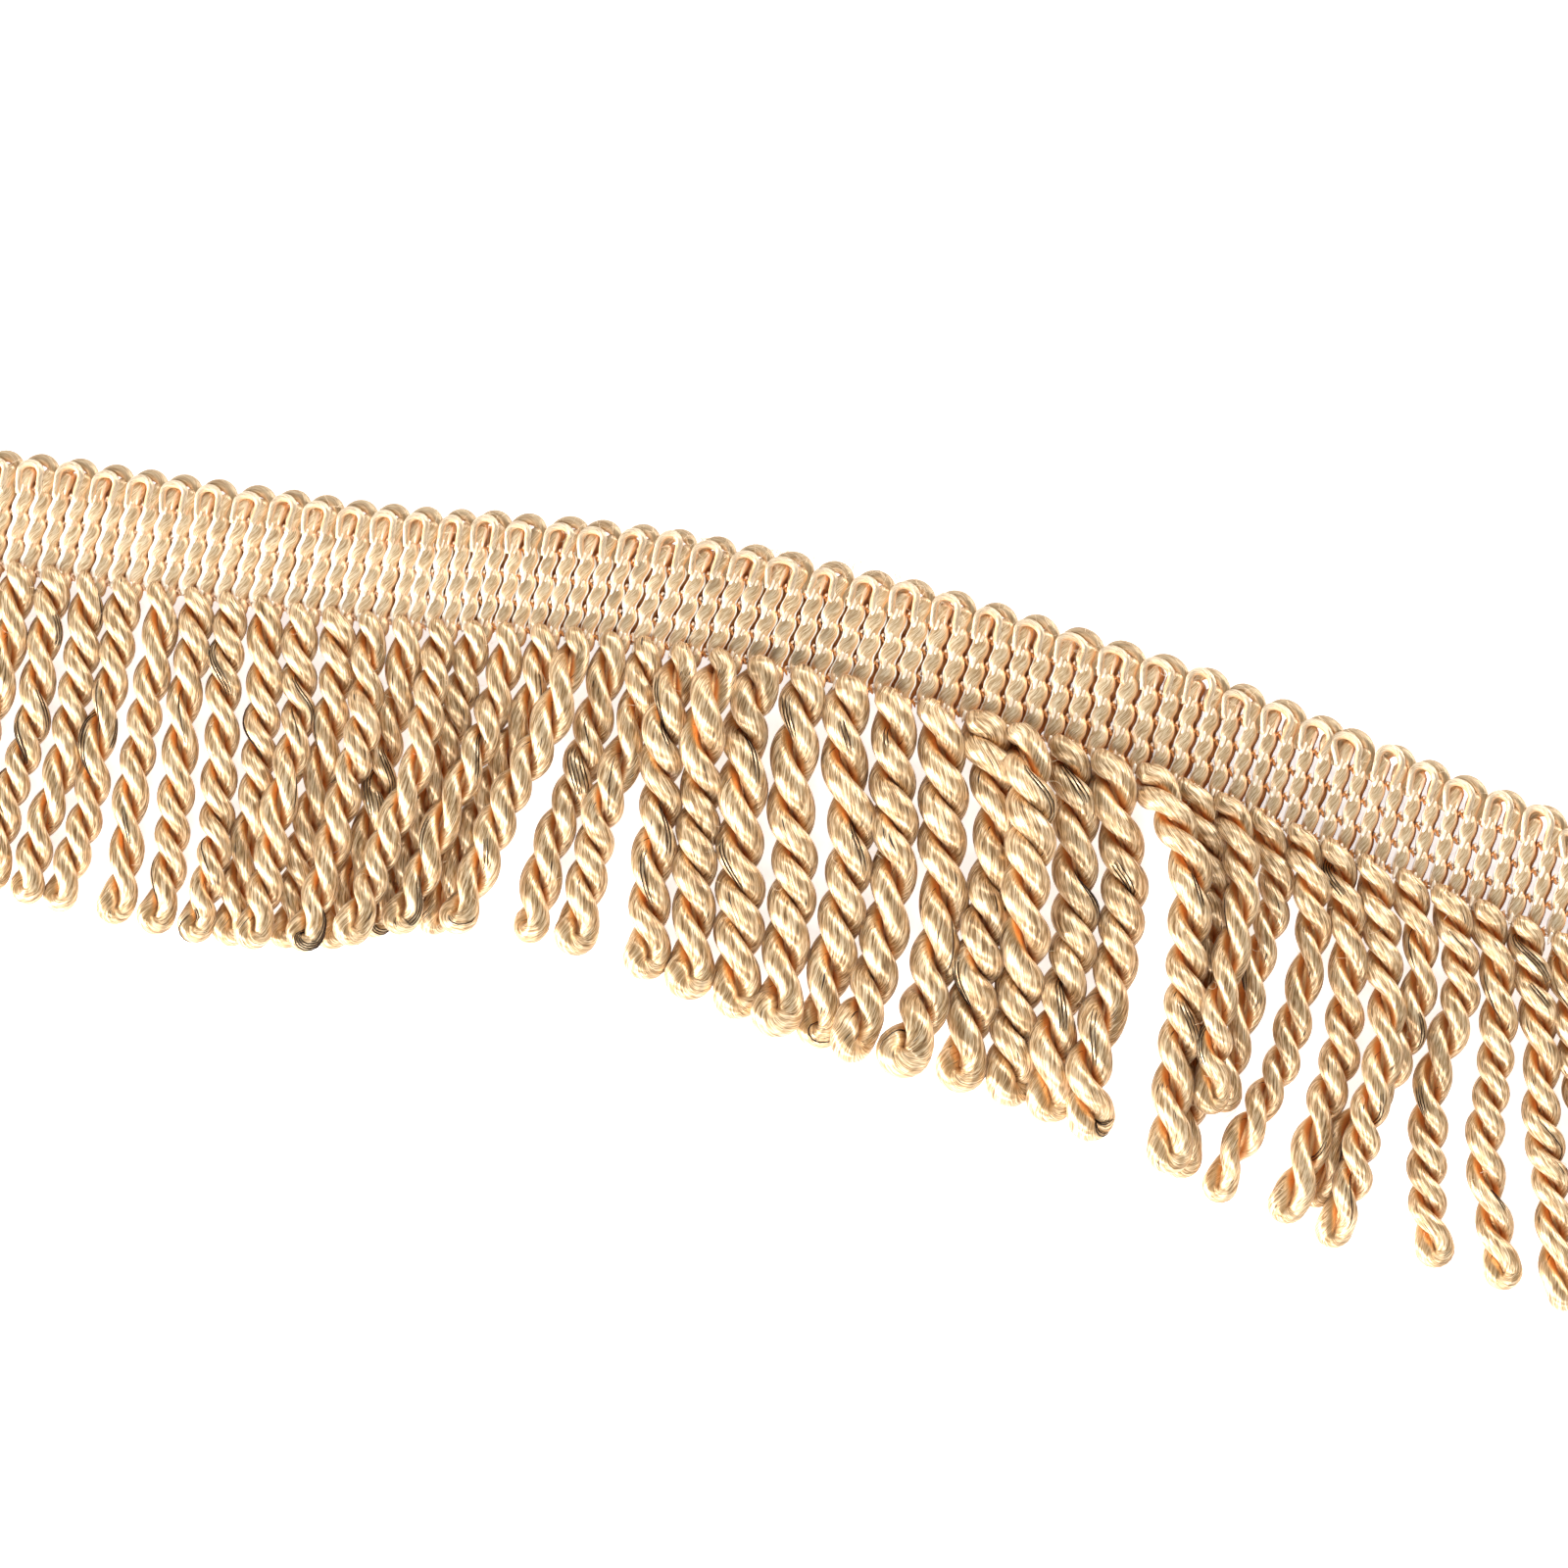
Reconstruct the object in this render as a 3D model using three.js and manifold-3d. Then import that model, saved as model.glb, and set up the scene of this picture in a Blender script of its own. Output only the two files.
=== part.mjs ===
// Bullion fringe trim laid flat: a woven gimp header with picot loops along its
// top edge, and a row of two-ply twisted cords along its bottom edge.
// Millimetres. +X runs along the trim, +Y towards the picots, +Z up off the surface.
import * as THREE from "three";
import Module from "manifold-3d";

// Lower edge of the header: heights at even steps of x, joined by a smooth curve.
const EDGE_FROM = -108.75;
const EDGE_STEP = 21.75;
const EDGE_HEIGHTS = [25.4, 23.6, 20.6, 17.6, 16.0, 12.3, 6.7, -0.2, -9.2, -18.0, -27.4];
const FIRST_ROOT_X = -88.8;
// Moves the trim so that its bounding box is centred over the origin.
const CENTRE_X = -0.06;
const CENTRE_Y = -11.36;

const CORD_COUNT = 44;
const CORD_WIDTH = 3.0;
const CORD_THICKNESS = 1.7;
const LAY_LENGTH = 10.3;
const STEPS_PER_LAY = 6;
const CORD_SPACING = 3.75;
const CLIMB = 0.5;
const TIP_SCALE = 0.7;
const HOOK_LENGTH = 4;

const STRIP_WIDTH = 1.5;
const STRIP_HEIGHT = 2.0;
const STRIP_GAP = 0.3;

const HEADER_TOP = 13.4;
const PICOT_NOTCH = 1.9;
const PICOT_SHOULDER = 0.35;
const STITCH_ROWS = [3.3, 6.0, 8.7];
const RIB_HEIGHT = 2.2;
const STITCH_HEIGHT = 1.6;
const GROOVE_HEIGHT = 1.1;

// How the cords lie. Leans are in degrees from -Y, positive towards +X, at the
// root, a third and two thirds of the way down, and the tip; hook is the extra
// turn of the last few millimetres. Cords between two rows blend them.
const HANG = [
  { cord: 0, pitch: 3.95, root: -10, upper: -14, lower: -14, tip: -12, hook: -30, length: 35.0 },
  { cord: 4, pitch: 3.95, root: -4, upper: -10, lower: -15, tip: -13, hook: -30, length: 37.0 },
  { cord: 5, pitch: 3.95, root: -2, upper: -10, lower: -8, tip: -12, hook: -40, length: 37.5 },
  { cord: 7, pitch: 3.95, root: 2, upper: -5, lower: -4, tip: -16, hook: -30, length: 38.3 },
  { cord: 12, pitch: 3.9, root: -2, upper: -12, lower: -18, tip: -20, hook: -30, length: 37.0 },
  { cord: 15, pitch: 3.8, root: -8, upper: -20, lower: -27, tip: -24, hook: -20, length: 36.0 },
  { cord: 17, pitch: 3.8, root: -16, upper: -25, lower: -26, tip: -18, hook: -50, length: 35.8 },
  { cord: 18, pitch: 3.85, root: -12, upper: -18, lower: -18, tip: -10, hook: -70, length: 35.0 },
  { cord: 19, pitch: 3.9, root: -10, upper: -18, lower: -14, tip: -8, hook: -80, length: 35.5 },
  { cord: 20, pitch: 4.3, root: -18, upper: -6, lower: -2, tip: -6, hook: -70, length: 36.5 },
  { cord: 22, pitch: 4.75, root: -16, upper: -4, lower: 2, tip: -2, hook: -70, length: 39.5 },
  { cord: 24, pitch: 4.9, root: -4, upper: 4, lower: -12, tip: -12, hook: -40, length: 40.5 },
  { cord: 25, pitch: 4.95, root: 8, upper: -2, lower: -12, tip: -20, hook: -50, length: 41.0 },
  { cord: 26, pitch: 4.95, root: 8, upper: 2, lower: -12, tip: -30, hook: -40, length: 41.5 },
  { cord: 27, pitch: 4.95, root: 20, upper: -4, lower: -14, tip: 0, hook: -80, length: 41.7 },
  { cord: 28, pitch: 4.95, root: 10, upper: -2, lower: -8, tip: 2, hook: 0, length: 41.5 },
  { cord: 30, pitch: 4.95, root: 22, upper: -4, lower: -18, tip: 14, hook: -10, length: 43.0 },
  { cord: 31, pitch: 4.8, root: 32, upper: 2, lower: -12, tip: 4, hook: 0, length: 45.0 },
  { cord: 32, pitch: 4.4, root: 26, upper: -4, lower: -10, tip: -2, hook: 0, length: 44.0 },
  { cord: 33, pitch: 4.4, root: 24, upper: -12, lower: -10, tip: -2, hook: 0, length: 35.0 },
  { cord: 34, pitch: 4.4, root: 20, upper: -12, lower: -17, tip: -12, hook: 0, length: 34.0 },
  { cord: 35, pitch: 4.4, root: 20, upper: -8, lower: -30, tip: -20, hook: 10, length: 43.5 },
  { cord: 36, pitch: 4.4, root: 20, upper: -6, lower: -16, tip: -32, hook: -20, length: 43.0 },
  { cord: 37, pitch: 4.4, root: 14, upper: -4, lower: -14, tip: -20, hook: 0, length: 43.5 },
  { cord: 38, pitch: 4.4, root: 18, upper: -12, lower: -36, tip: -30, hook: 0, length: 40.0 },
  { cord: 39, pitch: 4.6, root: 22, upper: -10, lower: -10, tip: 14, hook: -20, length: 42.5 },
  { cord: 41, pitch: 4.8, root: 12, upper: 4, lower: 4, tip: 10, hook: 10, length: 43.0 },
  { cord: 43, pitch: 4.8, root: 6, upper: 8, lower: 10, tip: 10, hook: 0, length: 41.0 },
];
// Where the cords crowd together, some lie beneath their neighbours and some on top.
const LAID_FIRST = [8, 10, 12, 14, 16, 38, 34, 32];
const LAID_LAST = [9, 11, 13, 15, 17, 31, 33, 35, 37];

const { clamp, degToRad, lerp } = THREE.MathUtils;
const scatter = (seed) => (Math.abs(Math.sin(seed * 12.9898)) * 43758.5453) % 1;

function edgeY(x) {
  const f = (x - EDGE_FROM) / EDGE_STEP;
  const i = clamp(Math.floor(f), 1, EDGE_HEIGHTS.length - 3);
  const t = f - i;
  const [a, b, c, d] = EDGE_HEIGHTS.slice(i - 1, i + 3);
  const ease = t * t * (3 - 2 * t);
  const leaving = ((c - a) / 2) * t * (1 - t) ** 2;
  const arriving = ((d - b) / 2) * t * t * (1 - t);
  return b + (c - b) * ease + leaving - arriving;
}

const edgeSlope = (x) => (edgeY(x + 0.05) - edgeY(x - 0.05)) / 0.1;

// The x of the point s millimetres along the lower edge from the first root.
const MARCH = 0.05;
const marched = { "-1": [FIRST_ROOT_X], "1": [FIRST_ROOT_X] };
function edgeX(s) {
  const way = s < 0 ? -1 : 1;
  const xs = marched[way];
  const f = Math.abs(s) / MARCH;
  while (xs.length < f + 2) {
    const x = xs[xs.length - 1];
    xs.push(x + (way * MARCH) / Math.hypot(1, edgeSlope(x)));
  }
  const i = Math.floor(f);
  return lerp(xs[i], xs[i + 1], f - i);
}

// The point s along the lower edge and v above it, square to the edge.
function headerPoint(s, v, z) {
  const x = edgeX(s);
  const slope = edgeSlope(x);
  const n = Math.hypot(1, slope);
  return new THREE.Vector3(x - (v * slope) / n, edgeY(x) + v / n, z);
}

function hangOf(cord) {
  const next = Math.max(1, HANG.findIndex((row) => row.cord >= cord));
  const [a, b] = [HANG[next - 1], HANG[next]];
  const t = (cord - a.cord) / (b.cord - a.cord);
  const blend = {};
  for (const key of Object.keys(a)) blend[key] = lerp(a[key], b[key], t);
  return blend;
}

const cords = [];
for (let i = 0, s = 0; i < CORD_COUNT; i++) {
  const row = hangOf(i);
  cords.push({ index: i, row, s, path: [] });
  s += (row.pitch + hangOf(Math.min(i + 1, CORD_COUNT - 1)).pitch) / 2;
}

// Centre line of a cord, seen from above, at even steps down from its root.
const STEP = LAY_LENGTH / STEPS_PER_LAY / 2;
for (const cord of cords) {
  const { row, path } = cord;
  const leans = [row.root, row.upper, row.lower, row.tip];
  const count = Math.round(row.length / STEP / 2) * 2;
  const at = headerPoint(cord.s, 0, 0);
  for (let k = 0; k <= count; k++) {
    path.push({ x: at.x, y: at.y, down: k * STEP });
    const f = (Math.min(k + 0.5, count) / count) * 3;
    const j = Math.min(Math.floor(f), 2);
    const hooked = Math.max(0, 1 - (count - k) / (HOOK_LENGTH / STEP));
    const lean = degToRad(lerp(leans[j], leans[j + 1], f - j) + row.hook * hooked);
    at.x += STEP * Math.sin(lean);
    at.y -= STEP * Math.cos(lean);
  }
}

const halfHeight = (turn) =>
  (CORD_WIDTH * Math.abs(Math.sin(turn)) + CORD_THICKNESS * Math.abs(Math.cos(turn))) / 2;
const REST_HEIGHT = halfHeight((2 * Math.PI) / STEPS_PER_LAY);

// Each cord lies on the surface, or on the cords laid before it.
const turnOf = (i) => (LAID_FIRST.includes(i) ? 0 : LAID_LAST.includes(i) ? 2 : 1);
const order = [...cords].sort((a, b) => turnOf(a.index) - turnOf(b.index));
order.forEach((cord, place) => {
  const held = cord.path.map((p) => {
    let z = REST_HEIGHT;
    for (const other of order.slice(0, place)) {
      if (Math.abs(other.index - cord.index) > 6) continue;
      for (const q of other.path) {
        const apart = Math.hypot(p.x - q.x, p.y - q.y);
        if (apart < CORD_SPACING)
          z = Math.max(z, q.z + Math.sqrt(CORD_SPACING ** 2 - apart ** 2));
      }
    }
    return z;
  });
  cord.path.forEach((p, k) => {
    const eased = Math.max(...held.map((z, m) => z - CLIMB * STEP * Math.abs(k - m)));
    p.z = Math.min(eased, Math.max(REST_HEIGHT, STRIP_HEIGHT / 2 + 0.8 * (p.down - 1)));
  });
});

const wasm = await Module();
wasm.setup();

function solidFrom(points, triangles) {
  const mesh = new wasm.Mesh({
    numProp: 3,
    vertProperties: new Float32Array(points.flatMap((p) => [p.x, p.y, p.z])),
    triVerts: new Uint32Array(triangles.flat()),
  });
  return new wasm.Manifold(mesh);
}

// A closed tube of four-sided rings.
function tubeSolid(rings) {
  const points = rings.flat();
  const last = points.length - 4;
  const triangles = [[0, 1, 2], [0, 2, 3]];
  triangles.push([last, last + 2, last + 1], [last, last + 3, last + 2]);
  for (let r = 0; r + 1 < rings.length; r++)
    for (let c = 0; c < 4; c++) {
      const a = r * 4 + c;
      const b = r * 4 + ((c + 1) % 4);
      triangles.push([a, a + 4, b], [b, a + 4, b + 4]);
    }
  return solidFrom(points, triangles);
}

// One twisted cord, flat where it leaves the root strip.
function cordSolid(cord) {
  const { path } = cord;
  const flat = 0.7 + 1.2 * scatter(cord.index + 1);
  const places = [-STRIP_WIDTH / 2, flat];
  for (let d = flat + 2 * STEP; d < cord.row.length; d += 2 * STEP) places.push(d);
  const rings = places.map((down, k) => {
    const f = clamp(down / STEP, 0, path.length - 1.001);
    const [p, q] = [path[Math.floor(f)], path[Math.floor(f) + 1]];
    const t = f - Math.floor(f) + Math.min(0, down / STEP);
    const along = new THREE.Vector3(q.x - p.x, q.y - p.y, 0).normalize();
    const across = new THREE.Vector3(-along.y, along.x, 0);
    const turn = -Math.max(0, k - 1) * ((2 * Math.PI) / STEPS_PER_LAY);
    const scale = k === places.length - 1 ? TIP_SCALE : 1;
    const height = k < 2 ? STRIP_HEIGHT / 2 : lerp(p.z, q.z, t);
    const centre = new THREE.Vector3(lerp(p.x, q.x, t), lerp(p.y, q.y, t), height);
    const wide = across.clone().multiplyScalar(Math.cos(turn));
    wide.z = Math.sin(turn);
    const thick = across.clone().multiplyScalar(-Math.sin(turn));
    thick.z = Math.cos(turn);
    return [[1, 1], [1, -1], [-1, -1], [-1, 1]].map(([w, h]) =>
      centre.clone()
        .addScaledVector(wide, (w * scale * CORD_WIDTH) / 2)
        .addScaledVector(thick, (h * scale * CORD_THICKNESS) / 2));
  });
  return tubeSolid(rings);
}

// Edges of the picots along the header: one picot stands over each cord.
const half = (cord, side) => cord.s + (side * cord.row.pitch) / 2;
const bounds = [half(cords[0], -1)];
for (let i = 1; i < CORD_COUNT; i++) bounds.push((cords[i - 1].s + cords[i].s) / 2);
bounds.push(half(cords[CORD_COUNT - 1], 1));

function stripSolid() {
  const rings = [];
  for (let i = 0; i < bounds.length; i++) {
    const s = bounds[i];
    rings.push([
      headerPoint(s, 0, 0),
      headerPoint(s, 0, STRIP_HEIGHT),
      headerPoint(s, STRIP_WIDTH, STRIP_HEIGHT),
      headerPoint(s, STRIP_WIDTH, 0),
    ]);
  }
  return tubeSolid(rings);
}

function geometryOf(solid) {
  const { vertProperties, triVerts } = solid.getMesh();
  const geometry = new THREE.BufferGeometry();
  geometry.setAttribute("position", new THREE.Float32BufferAttribute(vertProperties, 3));
  geometry.setIndex(Array.from(triVerts));
  return geometry;
}

// Rows of the header's face. rib is the height over a column, groove between
// the two columns of a picot, and notch between picots.
const FACE_ROWS = [
  { rise: STRIP_WIDTH + STRIP_GAP, rib: RIB_HEIGHT, groove: GROOVE_HEIGHT, notch: GROOVE_HEIGHT },
];
for (const v of STITCH_ROWS) {
  FACE_ROWS.push({ rise: v, rib: STITCH_HEIGHT, groove: 1.3, notch: 1.3 });
  FACE_ROWS.push({ rise: v + 1.35, rib: RIB_HEIGHT, groove: GROOVE_HEIGHT, notch: GROOVE_HEIGHT });
}
FACE_ROWS.push({ below: 1.0, rib: 2.0, groove: 2.0, notch: GROOVE_HEIGHT });
FACE_ROWS.push({ below: 0, rib: 1.0, groove: 1.0, notch: 0.9 });

function headerGeometry() {
  const stations = [];
  for (let i = 0; i < CORD_COUNT; i++)
    for (const part of [0, 0.25, 0.5, 0.75])
      stations.push({ s: lerp(bounds[i], bounds[i + 1], part), part });
  stations.push({ s: bounds[CORD_COUNT], part: 0 });
  const drop = { 0: PICOT_NOTCH, 0.25: PICOT_SHOULDER, 0.5: 0, 0.75: PICOT_SHOULDER };
  const across = FACE_ROWS.length;
  const points = [];
  for (const { s, part } of stations)
    for (const row of FACE_ROWS) {
      const top = HEADER_TOP - drop[part];
      const v = row.rise ?? top - row.below;
      const z = part === 0 ? row.notch : part === 0.5 ? row.groove : row.rib;
      points.push(headerPoint(s, v, z));
    }
  const triangles = [];
  for (let i = 0; i + 1 < stations.length; i++)
    for (let j = 0; j + 1 < across; j++) {
      const a = i * across + j;
      const b = a + across;
      triangles.push([a, b, a + 1], [b, b + 1, a + 1]);
    }
  // The rim runs round the face; the flat underside has the same outline.
  const rim = [];
  const far = stations.length - 1;
  for (let i = 0; i <= far; i++) rim.push(i * across);
  for (let j = 1; j < across; j++) rim.push(far * across + j);
  for (let i = far - 1; i >= 0; i--) rim.push(i * across + across - 1);
  for (let j = across - 2; j > 0; j--) rim.push(j);
  const under = points.length;
  for (const r of rim) points.push(points[r].clone().setZ(0));
  const outline = rim.map((r) => new THREE.Vector2(points[r].x, points[r].y));
  for (const [a, b, c] of THREE.ShapeUtils.triangulateShape(outline, []))
    triangles.push([under + a, under + c, under + b]);
  rim.forEach((r, k) => {
    const next = (k + 1) % rim.length;
    triangles.push([r, under + k, rim[next]], [rim[next], under + k, under + next]);
  });
  return geometryOf(solidFrom(points, triangles));
}

function named(name, geometry, color, roughness) {
  geometry.translate(-CENTRE_X, -CENTRE_Y, 0);
  geometry.computeVertexNormals();
  const material = new THREE.MeshStandardMaterial({ color, roughness, metalness: 0 });
  const mesh = new THREE.Mesh(geometry, material);
  mesh.name = name;
  return mesh;
}

const fringe = wasm.Manifold.union([stripSolid(), ...cords.map(cordSolid)]);
const trim = new THREE.Group();
trim.name = "tassel_fringe_trim";
trim.add(named("header_band", headerGeometry(), 0xdcc096, 0.6));
trim.add(named("bullion_fringe", geometryOf(fringe), 0xc8a973, 0.45));

export default trim;
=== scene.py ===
"""Bullion fringe trim laid flat on a pale surface, seen from straight above.

The layout is worked out in millimetres and written to the meshes in metres.
"""

import math

import bpy
import numpy as np
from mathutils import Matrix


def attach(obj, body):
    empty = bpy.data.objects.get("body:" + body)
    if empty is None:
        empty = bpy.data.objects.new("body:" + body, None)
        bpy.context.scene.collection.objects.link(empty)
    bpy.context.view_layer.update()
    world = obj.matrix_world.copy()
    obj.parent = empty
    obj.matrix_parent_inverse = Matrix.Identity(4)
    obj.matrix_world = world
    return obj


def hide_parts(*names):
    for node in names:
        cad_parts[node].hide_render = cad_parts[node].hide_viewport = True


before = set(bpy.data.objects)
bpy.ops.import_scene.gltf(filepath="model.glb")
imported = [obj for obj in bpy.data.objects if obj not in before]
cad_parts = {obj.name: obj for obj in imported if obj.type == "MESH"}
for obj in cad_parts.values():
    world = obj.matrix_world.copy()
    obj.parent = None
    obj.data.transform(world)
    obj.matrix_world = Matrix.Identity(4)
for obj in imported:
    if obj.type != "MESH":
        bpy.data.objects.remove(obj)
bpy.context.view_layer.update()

MM = 0.001

# Camera.
PHOTO_PX = 1600
PX_PER_MM = 9.2
FRAME_MM = PHOTO_PX / PX_PER_MM
LENS_MM = 85.0
SENSOR_MM = 36.0
# Centre of the photograph's frame, and the height off the surface at which its scale holds.
VIEW_X, VIEW_Y, VIEW_Z = 0.06, 11.36, 2.0

camera = bpy.data.objects.new("camera", bpy.data.cameras.new("camera"))
camera.data.lens = LENS_MM
camera.data.sensor_width = SENSOR_MM
camera.data.clip_start = 0.01
camera.data.clip_end = 10.0
rise = FRAME_MM / 2 * LENS_MM / (SENSOR_MM / 2)
camera.location = (VIEW_X * MM, VIEW_Y * MM, (VIEW_Z + rise) * MM)
bpy.context.scene.collection.objects.link(camera)
bpy.context.scene.camera = camera

# Layout, as in the CAD apart from a little more bend in cords 39 and 40.
# The header's lower edge has these heights at even steps along x.
EDGE_FROM, EDGE_STEP = -108.75, 21.75
EDGE_HEIGHTS = np.array([25.4, 23.6, 20.6, 17.6, 16.0, 12.3, 6.7, -0.2, -9.2, -18.0, -27.4])
FIRST_ROOT_X = -88.8
# What the layout calls this point is the origin of the scene.
CENTRE = np.array([-0.06, -11.36, 0.0])
CORD_COUNT = 44
HOOK_LENGTH = 4.0

# How the cords lie. Leans are in degrees from -Y, positive towards +X, at the root, a third and
# two thirds of the way down, and the tip; hook is the extra turn of the last few millimetres.
# Cords between two rows blend them.
COLUMNS = "cord pitch root upper lower tip hook length girth".split()
HANG = [
    (0, 3.95, -10, -14, -14, -12, -30, 35.0, 4.1),
    (4, 3.95, -4, -10, -15, -13, -30, 37.0, 4.1),
    (5, 3.95, -2, -10, -8, -12, -40, 37.5, 4.1),
    (7, 3.95, 2, -5, -4, -16, -30, 38.3, 4.1),
    (12, 3.9, -2, -12, -18, -20, -30, 37.0, 4.1),
    (15, 3.8, -8, -20, -27, -24, -20, 36.0, 4.1),
    (17, 3.8, -16, -25, -26, -18, -50, 35.8, 4.4),
    (18, 3.85, -12, -18, -18, -10, -70, 35.0, 4.6),
    (19, 3.9, -10, -18, -14, -8, -80, 35.5, 4.8),
    (20, 4.3, -18, -6, -2, -6, -70, 36.5, 5.0),
    (22, 4.75, -16, -4, 2, -2, -70, 39.5, 5.5),
    (24, 4.9, -4, 4, -12, -12, -40, 40.5, 5.5),
    (25, 4.95, 8, -2, -12, -20, -50, 41.0, 5.6),
    (26, 4.95, 8, 2, -12, -30, -40, 41.5, 5.6),
    (27, 4.95, 20, -4, -14, 0, -80, 41.7, 5.6),
    (28, 4.95, 10, -2, -8, 2, 0, 41.5, 5.5),
    (30, 4.95, 22, -4, -18, 14, -10, 43.0, 5.3),
    (31, 4.8, 32, 2, -12, 4, 0, 45.0, 4.9),
    (32, 4.4, 26, -4, -10, -2, 0, 44.0, 4.6),
    (33, 4.4, 24, -12, -10, -2, 0, 35.0, 4.3),
    (34, 4.4, 20, -12, -17, -12, 0, 34.0, 4.2),
    (35, 4.4, 20, -8, -30, -20, 10, 43.5, 4.3),
    (36, 4.4, 20, -6, -16, -32, -20, 43.0, 4.4),
    (37, 4.4, 14, -4, -14, -20, 0, 43.5, 4.3),
    (38, 4.4, 18, -12, -36, -30, 0, 40.0, 4.2),
    (39, 4.6, 24, -18, -5, 18, -20, 42.5, 4.3),
    (40, 4.7, 18, -9, 2, 16, -5, 42.7, 4.3),
    (41, 4.8, 12, 4, 4, 10, 10, 43.0, 4.3),
    (43, 4.8, 6, 8, 10, 10, 0, 41.0, 4.2),
]
# Where the cords crowd together, some lie beneath their neighbours and some on top.
LAID_FIRST = [8, 10, 12, 14, 16, 38, 34, 32]
LAID_LAST = [9, 11, 13, 15, 17, 31, 33, 35, 37]

rng = np.random.default_rng(7)


def smooth(a, b, x):
    """0 at a, 1 at b, and an S between them."""
    t = np.clip((x - a) / (b - a), 0, 1)
    return t * t * (3 - 2 * t)


def edge_y(x):
    """Height of the header's lower edge, a smooth curve through EDGE_HEIGHTS."""
    f = (np.asarray(x, float) - EDGE_FROM) / EDGE_STEP
    i = np.clip(np.floor(f).astype(int), 1, len(EDGE_HEIGHTS) - 3)
    t = f - i
    a, b, c, d = (EDGE_HEIGHTS[i + k] for k in (-1, 0, 1, 2))
    ease = t * t * (3 - 2 * t)
    leaving = (c - a) / 2 * t * (1 - t) ** 2
    arriving = (d - b) / 2 * t * t * (1 - t)
    return b + (c - b) * ease + leaving - arriving


# Fine steps along x, and the length of the header's lower edge up to each, from the first root.
FINE = 0.05
MARCH_FROM, MARCH_TO = -98.0, 106.0


def edge_slope(x):
    return (edge_y(x + FINE) - edge_y(x - FINE)) / (2 * FINE)


march_x = np.arange(MARCH_FROM, MARCH_TO, FINE)
march_s = np.concatenate([[0.0], np.cumsum(FINE * np.hypot(1, edge_slope(march_x[:-1] + FINE / 2)))])
march_s -= np.interp(FIRST_ROOT_X, march_x, march_s)

# Skew of the weave, in degrees: its columns lean from the square at these places along x.
SKEW_X = [-65.0, -11.0, 5.0, 28.0, 65.0]
SKEW = [4.0, 7.0, 0.0, -9.0, -10.0]


def on_header(s, v, z):
    """Points s along the header's lower edge, v above it and z off the surface."""
    s, v, z = np.broadcast_arrays(*(np.asarray(q, float) for q in (s, v, z)))
    x = np.interp(s, march_s, march_x)
    x = np.interp(s + v * np.tan(np.radians(np.interp(x, SKEW_X, SKEW))), march_s, march_x)
    slope = edge_slope(x)
    n = np.hypot(1, slope)
    return np.stack([x - v * slope / n, edge_y(x) + v / n, z], axis=-1)


def hang_of(i):
    """The row of HANG for cord i, blended where it has none of its own."""
    table = np.array(HANG, float)
    return {key: float(np.interp(i, table[:, 0], table[:, k])) for k, key in enumerate(COLUMNS)}


hangs = [hang_of(i) for i in range(CORD_COUNT)]
roots = [0.0]
for i in range(CORD_COUNT - 1):
    roots.append(roots[-1] + (hangs[i]["pitch"] + hangs[i + 1]["pitch"]) / 2)
# Ends of the picots along the header: one stands over each cord.
picot_ends = [roots[0] - hangs[0]["pitch"] / 2]
picot_ends += [(a + b) / 2 for a, b in zip(roots, roots[1:])]
picot_ends.append(roots[-1] + hangs[-1]["pitch"] / 2)

# Distance between the points of a cord, and where it starts inside the header.
STEP = 0.4
ROOT_START = -1.2
# A slight wander of every cord: in degrees, and over these lengths.
SWAY = 3.5
SWAY_LENGTHS = (2.3, 4.1)


def cord_line(i):
    """Centre line of a cord seen from above, from inside the header to its tip."""
    h = hangs[i]
    leans = [h["root"], h["upper"], h["lower"], h["tip"]]
    down = np.arange(0.0, h["length"] + STEP / 2, STEP)
    share = down / h["length"]
    lean = np.interp(share * 3, range(4), leans)
    lean += h["hook"] * np.clip(1 - (h["length"] - down) / HOOK_LENGTH, 0, 1)
    sway = rng.uniform(0, 2 * math.pi, 2)
    lean += sum(SWAY * np.sin(down / length + phase) for length, phase in zip(SWAY_LENGTHS, sway))
    lean = np.radians(lean)
    steps = STEP * np.stack([np.sin(lean), -np.cos(lean)], axis=1)
    start = on_header(roots[i], 0.0, 0.0)[:2]
    path = start + np.concatenate([[[0, 0]], np.cumsum(steps[:-1], axis=0)])
    lead = np.arange(ROOT_START, -STEP / 2, STEP)
    above = on_header(roots[i], -lead, 0.0)[:, :2]
    return np.concatenate([lead, down]), np.concatenate([above, path])


# The height of a cord's axis on the surface and at its root, as a share of its girth, and how
# close the axes of two cords come where they press on each other, as a share of both girths.
REST, ROOT_SHARE, NEST = 0.485, 0.43, 0.42
# How steeply a cord climbs onto another, how far apart in the row two cords can still meet, and
# the length at the root that lies under no other cord.
CLIMB = 0.45
REACHES = 6
ROOT_LENGTH = 3.0
# Points that a cord's height is averaged over.
EASED_OVER = 9

lines = [cord_line(i) for i in range(CORD_COUNT)]


def lay_order():
    """The cords in the order that they are laid."""
    def turn(i):
        return 0 if i in LAID_FIRST else 2 if i in LAID_LAST else 1

    return sorted(range(CORD_COUNT), key=turn)


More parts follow.
